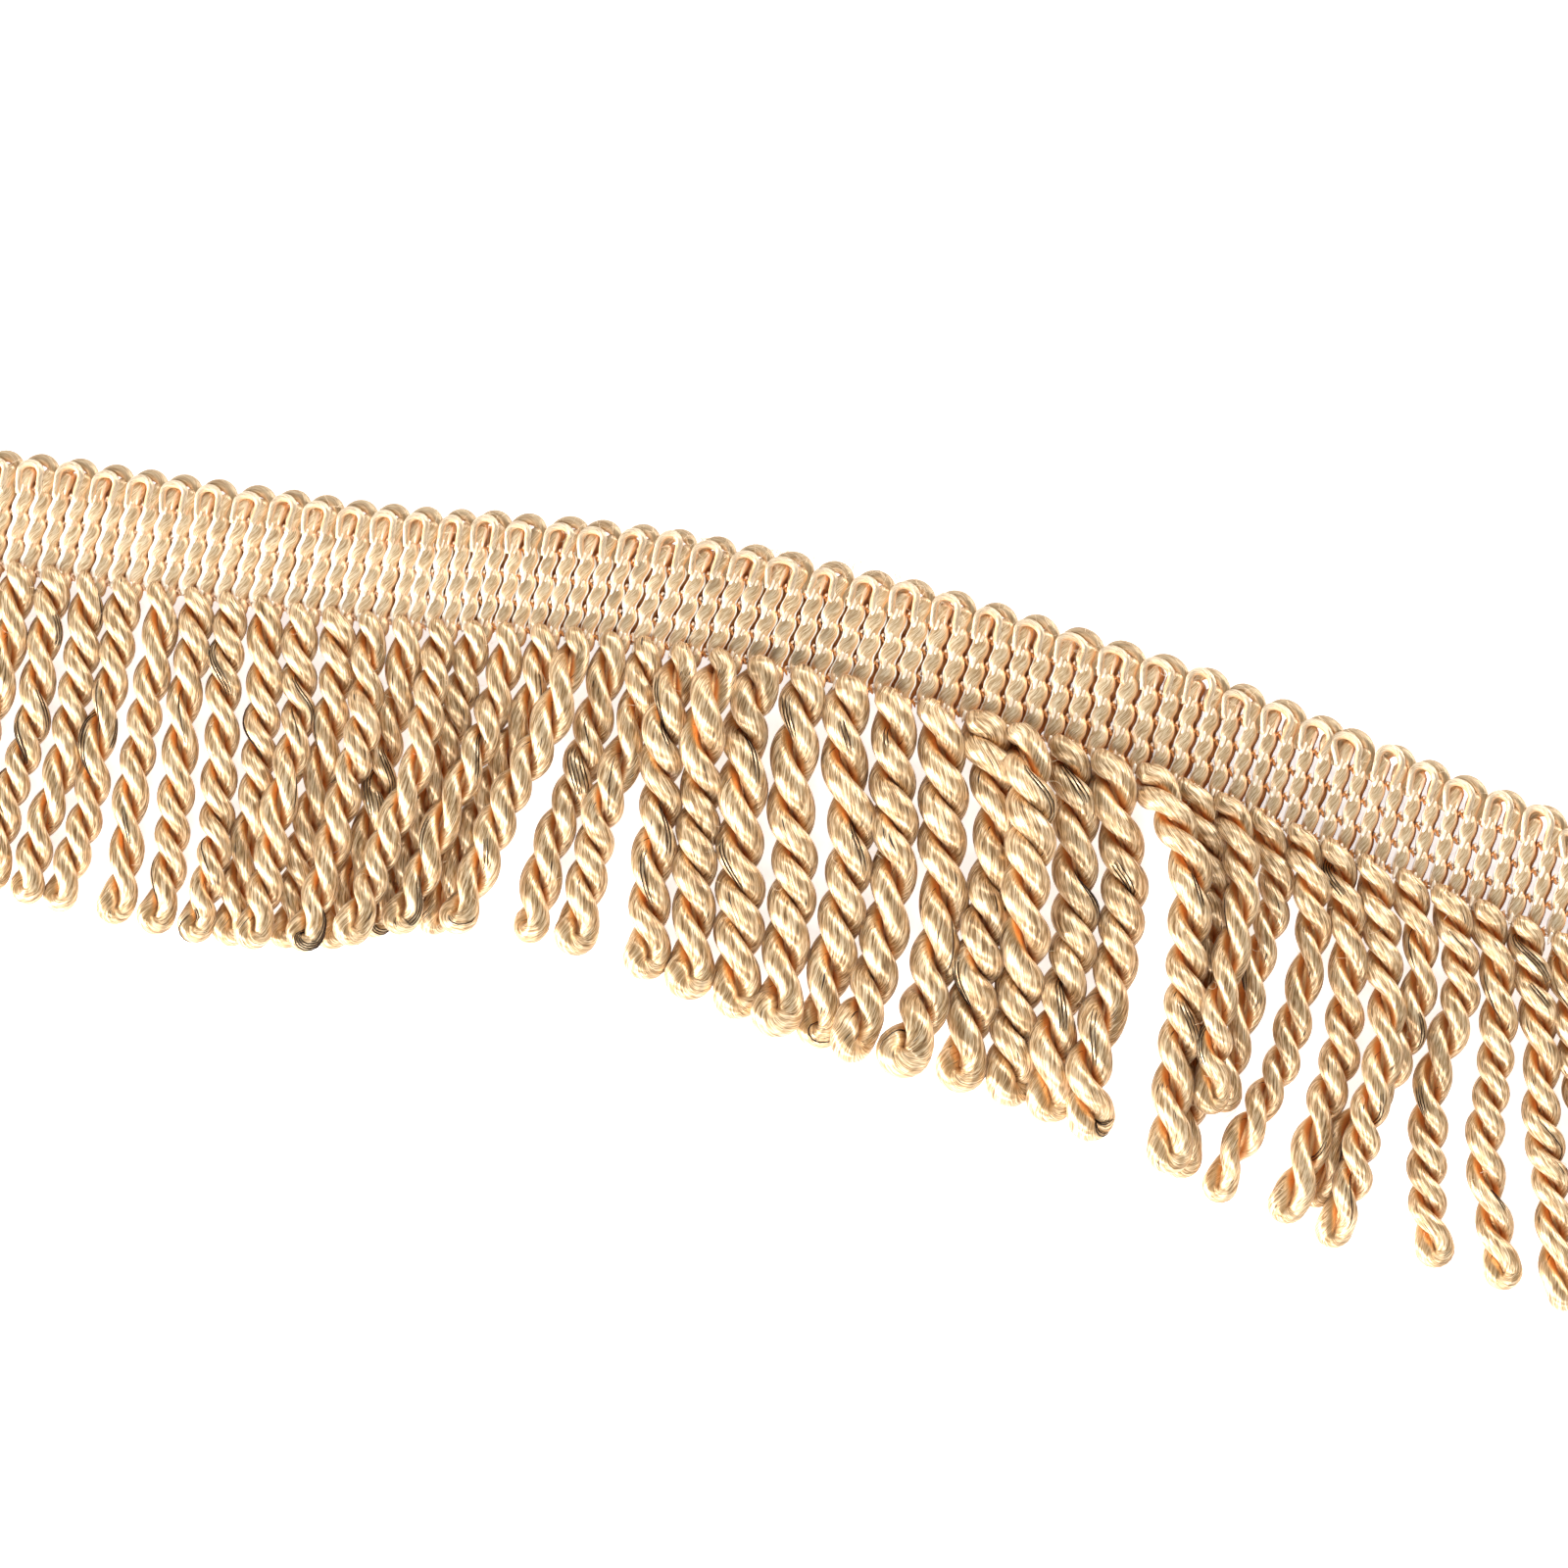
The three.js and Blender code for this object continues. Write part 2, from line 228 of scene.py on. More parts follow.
def settle():
    """Height of every cord's centre line: on the surface, or on the cords laid before it."""
    heights = {}
    for i in lay_order():
        down, path = lines[i]
        rest = REST * hangs[i]["girth"]
        need = np.full(len(down), rest)
        for j, z in heights.items():
            if abs(i - j) > REACHES:
                continue
            apart = np.linalg.norm(path[:, None] - lines[j][1][None], axis=2)
            close = NEST * (hangs[i]["girth"] + hangs[j]["girth"])
            lift = np.sqrt(np.clip(close**2 - apart**2, 0, None))
            over = np.where(apart < close, z[None] + lift, 0)
            need = np.maximum(need, over.max(axis=1))
        need[down < ROOT_LENGTH] = rest
        gap = np.abs(down[:, None] - down[None])
        eased = (need[None] - CLIMB * gap).max(axis=1)
        padded = np.pad(eased, EASED_OVER // 2, mode="edge")
        eased = np.convolve(padded, np.ones(EASED_OVER) / EASED_OVER, mode="valid")
        root_z = ROOT_SHARE * min(hangs[i]["girth"], hangs[i]["pitch"])
        heights[i] = root_z + (eased - root_z) * smooth(-0.5, 4.5, down)
    return heights


heights = settle()


# Meshes from yarns.
UP = np.array([0.0, 0.0, 1.0])
# The lowest that yarn reaches above the surface.
LOWEST = 0.01
# Each tube's seed is a random number up to this, so that no two have the same streaks.
SEEDS = 60


class Piece:
    """Gathers tubes into one mesh."""

    def __init__(self):
        self.points, self.faces, self.uvs = [], [], []
        self.marks = {"tint": [], "grey": [], "seed": []}
        self.count = 0

    def tube(self, path, outward, half_out, half_side, sides, tint=None, grey=None):
        """An elliptical tube with closed ends; outward is the way that the ring's angle 0 faces."""
        path = np.asarray(path, float)
        n = len(path)
        along = np.gradient(path, axis=0)
        length = np.linalg.norm(along, axis=1, keepdims=True)
        along /= np.maximum(length, 1e-9)
        outward = np.broadcast_to(outward, path.shape)
        first = outward - (outward * along).sum(1, keepdims=True) * along
        first /= np.linalg.norm(first, axis=1, keepdims=True)
        second = np.cross(along, first)
        turn = 2 * math.pi * np.arange(sides) / sides
        out = np.broadcast_to(half_out, n)[:, None, None]
        side = np.broadcast_to(half_side, n)[:, None, None]
        rings = (
            path[:, None]
            + out * np.cos(turn)[None, :, None] * first[:, None]
            + side * np.sin(turn)[None, :, None] * second[:, None]
        )
        run = np.concatenate([[0], np.cumsum(np.linalg.norm(np.diff(path, axis=0), axis=1))])
        base = self.count
        index = base + np.arange(n * sides).reshape(n, sides)
        nxt = np.roll(index, -1, axis=1)
        quads = np.stack([index[:-1], nxt[:-1], nxt[1:], index[1:]], axis=-1).reshape(-1, 4)
        self.faces.extend(quads.tolist())
        v0 = np.arange(sides) / sides
        v1 = v0 + 1 / sides
        u0 = np.repeat(run[:-1], sides)
        u1 = np.repeat(run[1:], sides)
        v0, v1 = np.tile(v0, n - 1), np.tile(v1, n - 1)
        corner = np.stack([u0, v0, u0, v1, u1, v1, u1, v0], axis=1).reshape(-1, 2)
        self.uvs.append(corner)
        self.faces.append(index[0][::-1].tolist())
        self.faces.append(index[-1].tolist())
        self.uvs.append(np.zeros((2 * sides, 2)))
        self.points.append(rings.reshape(-1, 3))
        for key, values in (("tint", tint), ("grey", grey)):
            shade = np.broadcast_to(0.0 if values is None else values, (n, sides))
            self.marks[key].append(shade.ravel())
        self.marks["seed"].append(np.full(n * sides, rng.uniform(0, SEEDS)))
        self.count += n * sides
        return rings

    def build(self, name, material, slot):
        """The finished piece, which rides on the trim."""
        mesh = bpy.data.meshes.new(name)
        points = (np.concatenate(self.points) - CENTRE) * MM
        # Yarn lies flat where it touches the surface.
        points[:, 2] = np.maximum(points[:, 2], LOWEST * MM)
        mesh.from_pydata(points.tolist(), [], self.faces)
        layer = mesh.uv_layers.new(name="yarn")
        layer.data.foreach_set("uv", np.concatenate(self.uvs).astype(np.float32).ravel())
        for key, values in self.marks.items():
            mark = mesh.attributes.new(key, "FLOAT", "POINT")
            mark.data.foreach_set("value", np.concatenate(values).astype(np.float32))
        mesh.polygons.foreach_set("use_smooth", [True] * len(mesh.polygons))
        mesh.materials.append(material)
        obj = bpy.data.objects.new(name, mesh)
        bpy.context.scene.collection.objects.link(obj)
        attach(obj, "root")
        return obj


# Materials.
def shader(name):
    """A new node material, with its nodes, its links and its shader."""
    material = bpy.data.materials.new(name)
    material.use_nodes = True
    nodes = material.node_tree.nodes
    return material, nodes, material.node_tree.links, nodes["Principled BSDF"]


# Painted reflection: the grey painted on a column's flank as the mirror image of the dim room overhead,
# also mixed thinly over whole columns as a darker tone.
GREY = (0.25, 0.17, 0.09)
# Places of the colours on the streaks' ramp, and on the ramp of painted shade and orange bounce light
# from a flank into a hollow.
STREAK_STOPS = ((0.37, "dark"), (0.48, "middle"), (0.61, "light"))
HOLLOW_STOPS = ((0.45, "glow"), (0.7, "ember"), (0.95, "deep"))
# Scales of the broad and the fine streaks, and how slowly both change along the yarn.
BROAD, FINE_STREAKS, SLOW = 3.2, 8.5, 0.11
# How soon a tinted flank takes the hollow's painted shade in full.
TINT_GAIN = 1.7


def yarn_material(name, colours, roughness, wrap, radius, streak=1.0, bump=0.5, specks=0.0,
                  metal=0.55, gloss=1.0):
    """Silky filament yarn.

    wrap is how far the filaments turn round it, in radians per mm, and radius is the yarn's own.
    streak makes the streaks finer, and specks is the level above which a dark fleck shows.
    """
    material, nodes, links, bsdf = shader(name)

    def math_node(kind, a, b=None, clamp=False):
        node = nodes.new("ShaderNodeMath")
        node.operation = kind
        node.use_clamp = clamp
        for k, value in enumerate((a, b)):
            if value is None:
                continue
            if isinstance(value, (int, float)):
                node.inputs[k].default_value = value
            else:
                links.new(value, node.inputs[k])
        return node.outputs[0]

    def point_mark(key):
        node = nodes.new("ShaderNodeAttribute")
        node.attribute_name = key
        return node.outputs["Fac"]

    def ramp(source, stops):
        node = nodes.new("ShaderNodeValToRGB")
        elements = node.color_ramp.elements
        while len(elements) < len(stops):
            elements.new(0.5)
        for element, (place, colour) in zip(elements, stops):
            element.position = place
            element.color = (*colour, 1)
        links.new(source, node.inputs[0])
        return node.outputs[0]

    def mix(share, a, b):
        node = nodes.new("ShaderNodeMixRGB")
        links.new(share, node.inputs[0])
        for k, value in ((1, a), (2, b)):
            if isinstance(value, tuple):
                node.inputs[k].default_value = (*value, 1)
            else:
                links.new(value, node.inputs[k])
        return node.outputs[0]

    uv = nodes.new("ShaderNodeUVMap")
    uv.uv_map = "yarn"
    split = nodes.new("ShaderNodeSeparateXYZ")
    links.new(uv.outputs[0], split.inputs[0])
    along, around = split.outputs[0], split.outputs[1]
    turned = math_node("MULTIPLY", along, wrap)
    angle = math_node("SUBTRACT", math_node("MULTIPLY", around, 2 * math.pi), turned)
    join = nodes.new("ShaderNodeCombineXYZ")
    links.new(math_node("COSINE", angle), join.inputs[0])
    links.new(math_node("SINE", angle), join.inputs[1])
    depth = math_node("ADD", math_node("MULTIPLY", along, SLOW), point_mark("seed"))
    links.new(depth, join.inputs[2])

    def noise(scale, detail):
        node = nodes.new("ShaderNodeTexNoise")
        node.inputs["Scale"].default_value = scale
        node.inputs["Detail"].default_value = detail
        node.inputs["Roughness"].default_value = 0.6
        links.new(join.outputs[0], node.inputs["Vector"])
        return node.outputs["Fac"]

    broad = math_node("MULTIPLY", noise(BROAD * streak, 2.0), 0.5)
    fine = math_node("MULTIPLY", noise(FINE_STREAKS * streak, 1.0), 0.5)
    both = math_node("ADD", broad, fine)
    colour = ramp(both, [(place, colours[key]) for place, key in STREAK_STOPS])
    # The tint mark paints shade and orange bounce light from the hollow ramp; the grey mark paints a
    # grey reflection, and on some columns a darker tone.
    tint = point_mark("tint")
    hollow = ramp(tint, [(place, colours[key]) for place, key in HOLLOW_STOPS])
    colour = mix(math_node("MULTIPLY", tint, TINT_GAIN, clamp=True), colour, hollow)
    colour = mix(point_mark("grey"), colour, GREY)
    if specks:
        lone = noise(6.0, 0.0)
        mask = ramp(lone, [(specks, (0, 0, 0)), (specks + 0.03, (1, 1, 1))])
        colour = mix(mask, colour, colours["speck"])
    links.new(colour, bsdf.inputs["Base Color"])
    raised = nodes.new("ShaderNodeBump")
    raised.inputs["Strength"].default_value = bump
    raised.inputs["Distance"].default_value = 0.15 * MM
    links.new(both, raised.inputs["Height"])
    links.new(raised.outputs[0], bsdf.inputs["Normal"])
    # The sheen spreads across the filaments, so the tangent is square to them.
    run = nodes.new("ShaderNodeTangent")
    run.direction_type = "UV_MAP"
    run.uv_map = "yarn"
    links.new(run.outputs[0], bsdf.inputs["Tangent"])
    bsdf.inputs["Anisotropic"].default_value = 0.9
    bsdf.inputs["Anisotropic Rotation"].default_value = 0.25 - math.atan(wrap * radius) / (2 * math.pi)
    bsdf.inputs["Roughness"].default_value = roughness
    bsdf.inputs["Metallic"].default_value = metal
    bsdf.inputs["Specular IOR Level"].default_value = gloss
    bsdf.inputs["Sheen Weight"].default_value = 0.1 * gloss
    bsdf.inputs["Sheen Roughness"].default_value = 0.4
    return material


# dark, middle and light colour the streaks; glow and ember are painted orange bounce light and deep is
# painted shade, leading into the hollows.
CORD_COLOURS = dict(
    dark=(0.22, 0.115, 0.042),
    middle=(0.54, 0.340, 0.160),
    light=(0.98, 0.775, 0.505),
    glow=(0.72, 0.41, 0.16),
    ember=(0.70, 0.29, 0.07),
    deep=(0.16, 0.03, 0.006),
    speck=(0.035, 0.018, 0.010),
)
HEADER_COLOURS = dict(
    dark=(0.32, 0.18, 0.075),
    middle=(0.62, 0.435, 0.235),
    light=(0.97, 0.82, 0.58),
    glow=(0.86, 0.48, 0.20),
    ember=(0.84, 0.40, 0.13),
    deep=(0.20, 0.07, 0.02),
)
# The yarn behind is the front's yarn painted darker: painted shade.
BACK_SHADE_COLOURS = dict(HEADER_COLOURS, middle=(0.46, 0.32, 0.18), light=(0.58, 0.44, 0.27))
# The finer picot loops are the same yarn painted paler: a painted highlight.
LOOP_HIGHLIGHT_COLOURS = dict(HEADER_COLOURS, middle=(0.78, 0.60, 0.40), light=(0.90, 0.76, 0.56))
# The stitch strands are paler than the weft, in part a painted highlight on strands that stand raised;
# glow, ember and deep paint the shade where they sink into the gaps.
STITCH_COLOURS = dict(
    dark=(0.78, 0.58, 0.40),
    middle=(0.93, 0.80, 0.62),
    light=(0.98, 0.90, 0.76),
    glow=(0.74, 0.30, 0.07),
    ember=(0.74, 0.30, 0.07),
    deep=(0.48, 0.15, 0.03),
)
# The strands on the columns' edges are painted near white: a painted highlight on the columns' rims.
RIM_HIGHLIGHT_COLOURS = dict(
    STITCH_COLOURS,
    dark=(0.90, 0.77, 0.60),
    middle=(0.97, 0.90, 0.76),
    light=(0.99, 0.95, 0.86),
)
DARK_COLOURS = dict.fromkeys(HEADER_COLOURS, (0.04, 0.02, 0.012))
# How far the filaments of a cord turn round their yarn, in radians per mm.
CORD_WRAP = 0.78
cord_yarn = yarn_material("cord_yarn", CORD_COLOURS, 0.38, CORD_WRAP, 1.3, streak=1.25, specks=0.77)
header_yarn = yarn_material("header_yarn", HEADER_COLOURS, 0.4, 0.5, 0.9, streak=1.5, metal=0.28)
shaded_back_yarn = yarn_material("shaded_back_yarn", BACK_SHADE_COLOURS, 0.42, 0.6, 0.7)
highlit_loop_yarn = yarn_material("highlit_loop_yarn", LOOP_HIGHLIGHT_COLOURS, 0.4, 0.8, 0.5, streak=1.8)
stitch_yarn = yarn_material("stitch_yarn", STITCH_COLOURS, 0.4, 0.5, 0.3, bump=0.2, metal=0.2)
rim_highlight_yarn = yarn_material("rim_highlight_yarn", RIM_HIGHLIGHT_COLOURS, 0.4, 0.5, 0.3, bump=0.2, metal=0.0)
hair_yarn = yarn_material("hair_yarn", HEADER_COLOURS, 0.5, 0.0, 0.03, bump=0.0, metal=0.0)
dark_yarn = yarn_material("dark_yarn", DARK_COLOURS, 0.5, 0.0, 0.03, bump=0.0, metal=0.0, gloss=0.1)

# Twisted cords.
CORD_SIDES = 18
CORE_SIDES = 8
CORD_PIECES = 4
# Length of one turn of the twist: LAY on a cord LAY_GIRTH thick, and LAY_GROWTH more per mm of girth.
LAY, LAY_GIRTH, LAY_GROWTH = 9.1, 4.1, 1.25
FIRST_TURN = math.radians(150)
# How much fuller a cord is at its tip.
KNOB = 0.14
# Shares of a cord's girth: axis to ply, and a ply's half thickness and half width.
SPREAD, DEEP, WIDE = 0.255, 0.245, 0.272
# How far the twist is open along the row of cords, and what that takes off a ply.
OPEN_AT, OPEN = [0, 12, 17, 29, 33, 43], [0.45, 0.45, 0.2, 0.2, 0.9, 0.9]
OPENING = 0.026
# Radius of the strand that fills the middle of the twist, put there to show the hollow's shade, as a
# share of the girth, and its tint, which paints that shade and orange bounce light on it.
CORE, CORE_TINT = 0.1, 0.52


def directions(centre):
    """Unit vectors along a line, across it on the flat, and up from both."""
    along = np.gradient(centre, axis=0)
    along /= np.linalg.norm(along, axis=1, keepdims=True)
    across = np.column_stack([-along[:, 1], along[:, 0], np.zeros(len(along))])
    across /= np.linalg.norm(across, axis=1, keepdims=True)
    return along, across, np.cross(along, across)


def twist(down, to_tip, lay):
    """Angle of the first ply round the cord's axis, slower towards the tip."""
    rate = 2 * math.pi / lay * (0.5 + 0.5 * smooth(0, 3.5, to_tip))
    rate = rate * (1 + 0.2 * np.sin(down / 3.7 + rng.uniform(0, 6)))
    turned = np.concatenate([[0], np.cumsum((rate[1:] + rate[:-1]) / 2 * np.diff(down))])
    first = FIRST_TURN + rng.uniform(-0.2, 0.2)
    # Most cords lie with the loop at the tip flat on the surface.
    lies = rng.normal(0, 0.45)
    short = (first - turned[-1] - lies + math.pi / 2) % math.pi - math.pi / 2
    return first - turned * (1 + short / turned[-1])


def flank_tints(share_open):
    """Painted shade and orange bounce light round the yarn on its way down the cord and on its way back
    up.

    The flank in shade that turns into the hollow takes the most, and a painted dark slit runs beside the
    core.
    """
    turn = 2 * math.pi * np.arange(CORD_SIDES) / CORD_SIDES
    inner = -np.cos(turn)
    slit = 0.25 * (1 - 0.7 * share_open) * smooth(0.75, 0.92, inner)
    shaded = 0.7 * smooth(-0.3 - 0.2 * share_open, 0.6, inner) + slit
    lit = 0.62 * smooth(0.15 - 0.15 * share_open, 0.75, inner) + slit
    going_down = np.where(np.sin(turn) < 0, shaded, lit)
    coming_up = np.where(np.sin(turn) > 0, shaded, lit)
    return going_down, coming_up


def add_cord(piece, i):
    """One two-ply cord: a single yarn down one side, round the tip and back up."""
    h = hangs[i]
    down, path = lines[i]
    share_open = float(np.interp(i, OPEN_AT, OPEN))
    loose = OPENING * share_open
    spread, deep, ply_wide = SPREAD + loose, DEEP - loose, WIDE - 0.9 * loose
    at_root = min(h["girth"], 1.09 * h["pitch"])
    girth = (at_root + (h["girth"] - at_root) * smooth(1, 7, down)) * rng.uniform(0.97, 1.03)
    lay = (LAY + LAY_GROWTH * (h["girth"] - LAY_GIRTH)) * rng.uniform(0.96, 1.04)
    ends_at = h["length"] - (spread + deep) * h["girth"]
    keep = down <= ends_at
    down, centre, girth = down[keep], np.column_stack([path, heights[i]])[keep], girth[keep]
    along, across, up = directions(centre)
    to_tip = ends_at - down
    angle = twist(down, to_tip, lay)
    radial = np.cos(angle)[:, None] * across + np.sin(angle)[:, None] * up

    # The plies close up at the tip, and the cord is rounded off at its root.
    knob = 1 + KNOB * (1 - smooth(0, 2.5, to_tip))
    shut = smooth(0.5, 3.0, to_tip)
    apart = deep * 0.95 + (spread - deep * 0.95) * shut
    reach = apart * girth * knob * (0.8 + 0.2 * smooth(ROOT_START, 1.0, down))
    lead = np.clip((down - ROOT_START) / 1.5, 0, 1)
    body = girth * knob * np.sqrt(np.clip(1 - (1 - lead) ** 2, 0.02, 1))
    for swelling, per_mm in ((0.035, 1.3), (0.065, 0.45)):
        body = body * (1 + swelling * np.sin(down * per_mm + rng.uniform(0, 6)))

    swing = np.radians(np.arange(20, 161, 20))[:, None]
    tip_out = np.cos(swing) * radial[-1] + np.sin(swing) * along[-1]
    bend = centre[-1] + reach[-1] * tip_out
    going, coming = centre + reach[:, None] * radial, centre - reach[:, None] * radial
    route = np.concatenate([going, bend, coming[::-1]])
    outward = np.concatenate([radial, tip_out, -radial[::-1]])
    size = np.concatenate([body, np.full(len(bend), body[-1]), body[::-1]])
    # Painted shade and orange bounce light on the flanks that face the hollow, weaker where the plies
    # close up at the tip.
    going_down, coming_up = flank_tints(share_open)
    half_way = len(going) + len(bend) // 2
    tint = np.array([going_down] * half_way + [coming_up] * (len(route) - half_way))
    plain = np.concatenate([shut, np.zeros(len(bend)), shut[::-1]])
    tint = tint * (0.55 + 0.45 * plain[:, None])
    rings = piece.tube(route, outward, size * deep, size * ply_wide, CORD_SIDES, tint=tint)
    # The core strand, in painted shade and orange bounce light.
    core = np.concatenate([centre, centre[-1:] + 0.5 * reach[-1] * along[-1:]])
    thick = (CORE + 0.6 * loose) * h["girth"]
    piece.tube(core, UP, thick, thick, CORE_SIDES, tint=CORE_TINT)
    return rings


# Sides of the ring that a filament drifts past at each point of the ply.
DRIFT = CORD_WRAP * STEP / (2 * math.pi) * CORD_SIDES
# Height of a dark filament off its ply as a share of the ply's radius, and its own radius.
FILAMENT_LIFT, FILAMENT_RADIUS = 0.05, 0.08
# How many bundles of dark filaments a cord has on average, and their distance in sides of the ring.
FILAMENTS, FILAMENTS_APART = 2.4, 0.9


def filament(piece, rings, at, count, side):
    """A filament that lies on a ply, following the turn of the yarn."""
    sides = rings.shape[1]
    path = []
    for j in range(count):
        place = side + DRIFT * j
        k, part = int(place), place - int(place)
        a, b = rings[at + j, k % sides], rings[at + j, (k + 1) % sides]
        middle = rings[at + j].mean(axis=0)
        point = a + (b - a) * part
        path.append(middle + (point - middle) * (1 + FILAMENT_LIFT))
    t = np.linspace(-1, 1, count)
    taper = np.sqrt(np.clip(1 - t * t, 0.1, 1))
    piece.tube(path, UP + 0.01, FILAMENT_RADIUS, FILAMENT_RADIUS * taper, 3)


def dark_filaments(piece, rings):
    """A few dark filaments on the sides of the plies that face up."""
    heights_up = rings[:, :, 2].mean(axis=1)
    for _ in range(rng.poisson(FILAMENTS)):
        count = int(rng.integers(6, 14))
        places = rng.integers(4, len(rings) - count - 4, 4)
        at = int(places[np.argmax(heights_up[places + count // 2])])
        rise = rings[at + count // 2, :, 2]
        top = int(np.argmax(rise)) + int(rng.integers(-3, 4))
        start = top - DRIFT * count / 2
        for extra in range(int(rng.integers(1, 4))):
            filament(piece, rings, at, count, start + CORD_SIDES + FILAMENTS_APART * extra)


cord_pieces = []
dark = Piece()
for p in range(CORD_PIECES):
    piece = Piece()
    for i in range(CORD_COUNT * p // CORD_PIECES, CORD_COUNT * (p + 1) // CORD_PIECES):
        dark_filaments(dark, add_cord(piece, i))
    cord_pieces.append(piece.build(f"twisted_cords_{p + 1}", cord_yarn, "cord_yarn"))
dark_strands = dark.build("dark_filaments", dark_yarn, "cord_yarn")

# Woven header. Heights up it are v, above its lower edge, and heights off the surface are z.
# The rows of stitches, the ends of the rows of cells between them, and the tops of the picots.
STITCH_V = [0.5, 3.4, 6.3, 9.2]
ROW_ENDS = np.array([2 * STITCH_V[0] - STITCH_V[1], *STITCH_V, 12.3])
# Middles of the columns in front and behind and of the pale strands that paint highlights on their
# edges, tops of the stitches over a column and over a gap, and the threads on the back.
FRONT_Z, BACK_Z, RIM_Z = 1.75, 0.62, 2.0
OVER_COLUMN_Z, OVER_GAP_Z = 2.38, 1.95
THREAD_Z = 0.22
# Cords over which the tight weave of the left end gives way, the fuller middle does, and the
# see-through right end comes in, where front and back columns line up.
TIGHT_FROM, TIGHT_TO = 9, 17
MIDDLE_FROM, MIDDLE_TO = 22, 28
OPEN_FROM, OPEN_FULL = 31, 35
# Where the two columns over a cord stand, as shares of its pitch, and where each starts.
COLUMN_AT = (0.25, 0.75)
COLUMN_LOW = (-0.3, -2.0)
COLUMN_STEP = 0.28
# How much a column's cells and stitches are shifted up or down from its neighbours'.
NUDGE = 0.16
ARCH_SIDES = 10
# The painted reflection on a column, a grey patch: the angle that it faces and its width, in degrees.
PATCH_AT, PATCH_WIDTH = 336, 31


def weave_at(i):
    """How much the weave over cord i is that of the left end, of the middle and of the open end."""
    tight = 1 - smooth(TIGHT_FROM, TIGHT_TO, i)
    central = (1 - tight) * (1 - smooth(MIDDLE_FROM, MIDDLE_TO, i))
    return tight, central, smooth(OPEN_FROM, OPEN_FULL, i)


def rows(v):
    """For points v up the header: the row that each is in, its share of the row and the swelling."""
    row = np.clip(np.searchsorted(ROW_ENDS, v) - 1, 0, len(ROW_ENDS) - 2)
    f = np.clip((v - ROW_ENDS[row]) / (ROW_ENDS[row + 1] - ROW_ENDS[row]), 0, 1)
    return row, f, np.sin(math.pi * f**1.2) ** 0.65


def column(piece, s, half, deep, z, low, top, sides, slant, nudge, shade=0.0, side=0.9, patch=0.0,
           dull=0.0, waist=0.78):
    """A weft column, swelling between the stitch rows that pinch it.

    shade paints shade all over it and side paints shade on its right flank.
    patch paints a grey reflection on one flank, and dull mixes the same grey thinly over all of it as a
    darker tone.
    shade tints it all over and side tints its right flank. patch greys one flank and dull all of it.
    It gives back the centre and the half width at each height up it.
    """
    v = np.arange(low, top + 0.01, COLUMN_STEP)
    row, f, swell = rows(v - nudge)
    plump = rng.uniform(0.72, 1.15, len(ROW_ENDS))[row]
    jog = rng.normal(0, 0.06, len(ROW_ENDS))[row] * swell
    ends = np.sqrt(np.clip((v - low) / 1.2, 0.03, 1)) * np.sqrt(np.clip((top - v) / 0.7, 0.03, 1))
    wide = half * (waist + (1.05 - waist) * swell * plump) * ends
    thick = deep * (0.82 + 0.18 * swell * plump) * ends
    shift = jog - slant * np.sin(2 * math.pi * f)
    centres = on_header(s + shift, v, z + 0.12 * (swell - 0.5))
    turn = 2 * math.pi * np.arange(sides) / sides
    # The tint paints shade: on the right flank, beneath, at the pinches and under the picots, and all
    # over where shade is given.
    right, left = np.clip(np.sin(turn), 0, 1) ** 3, np.clip(-np.sin(turn), 0, 1) ** 3
    under = np.clip(-np.cos(turn), 0, 1)
    pinch = (1 - swell)[:, None] * 0.22
    inside = (0.15 * smooth(10.2, 11.4, v))[:, None]
    tint = np.clip(side * right + 0.1 * left + 0.7 * under + pinch + inside + shade, 0, 0.95)
    # A grey patch painted on one flank as a painted reflection, and the same grey thinly all over as a
    # darker tone.
    away = (np.degrees(turn) - PATCH_AT + 180) % 360 - 180
    fall = np.exp(-((away / PATCH_WIDTH) ** 2))
    strength = patch * rng.uniform(0.2, 1.1, len(ROW_ENDS))[row]
    strength = strength * smooth(0.15, 0.4, f) * smooth(1.0, 0.8, f)
    grey = np.clip(strength[:, None] * fall + dull, 0, 1)
    piece.tube(centres, UP, thick, wide, sides, tint=tint, grey=grey)
    return s + shift, wide, v


def edge_strand(piece, edge_s, v, half, z, nudge):
    """A pale strand down one edge of a column: a painted highlight on the column's rim."""
    _, _, swell = rows(v - nudge)
    centres = on_header(edge_s, v, z + 0.1 * (swell - 0.5))
    piece.tube(centres, UP, half * 0.8, half, 5)


def arch(piece, centre_s, half_s, centre_v, rise_v, feet, z, out, side):
    """A picot loop: up one leg, over and down the other."""
    swing = np.radians(np.arange(180, -1, -12))
    s = centre_s + half_s * np.cos(swing)
    v = centre_v + rise_v * np.sin(swing)
    t = np.linspace(0, 1, 6)[:-1]
    legs = []
    for (foot_s, foot_v), end_s, end_v in zip(feet, (s[0], s[-1]), (v[0], v[-1])):
        legs.append((foot_s + (end_s - foot_s) * smooth(0, 1, t), foot_v + (end_v - foot_v) * t))
    s = np.concatenate([legs[0][0], s, legs[1][0][::-1]])
    v = np.concatenate([legs[0][1], v, legs[1][1][::-1]])
    share = np.linspace(0, 1, len(s))
    over = np.sin(math.pi * share)
    taper = 0.7 + 0.3 * np.sqrt(over)
    centres = on_header(s, v, z + 0.15 * over)
    outward = centres - on_header(centre_s, centre_v - 2.0, z)
    turn = 2 * math.pi * np.arange(ARCH_SIDES) / ARCH_SIDES
    # Painted shade on the inner side of the loop.
    tint = np.broadcast_to(np.clip(-np.cos(turn), 0, 1) * 0.5, (len(s), ARCH_SIDES))
    piece.tube(centres, outward, out * taper, side * taper, ARCH_SIDES, tint=tint)


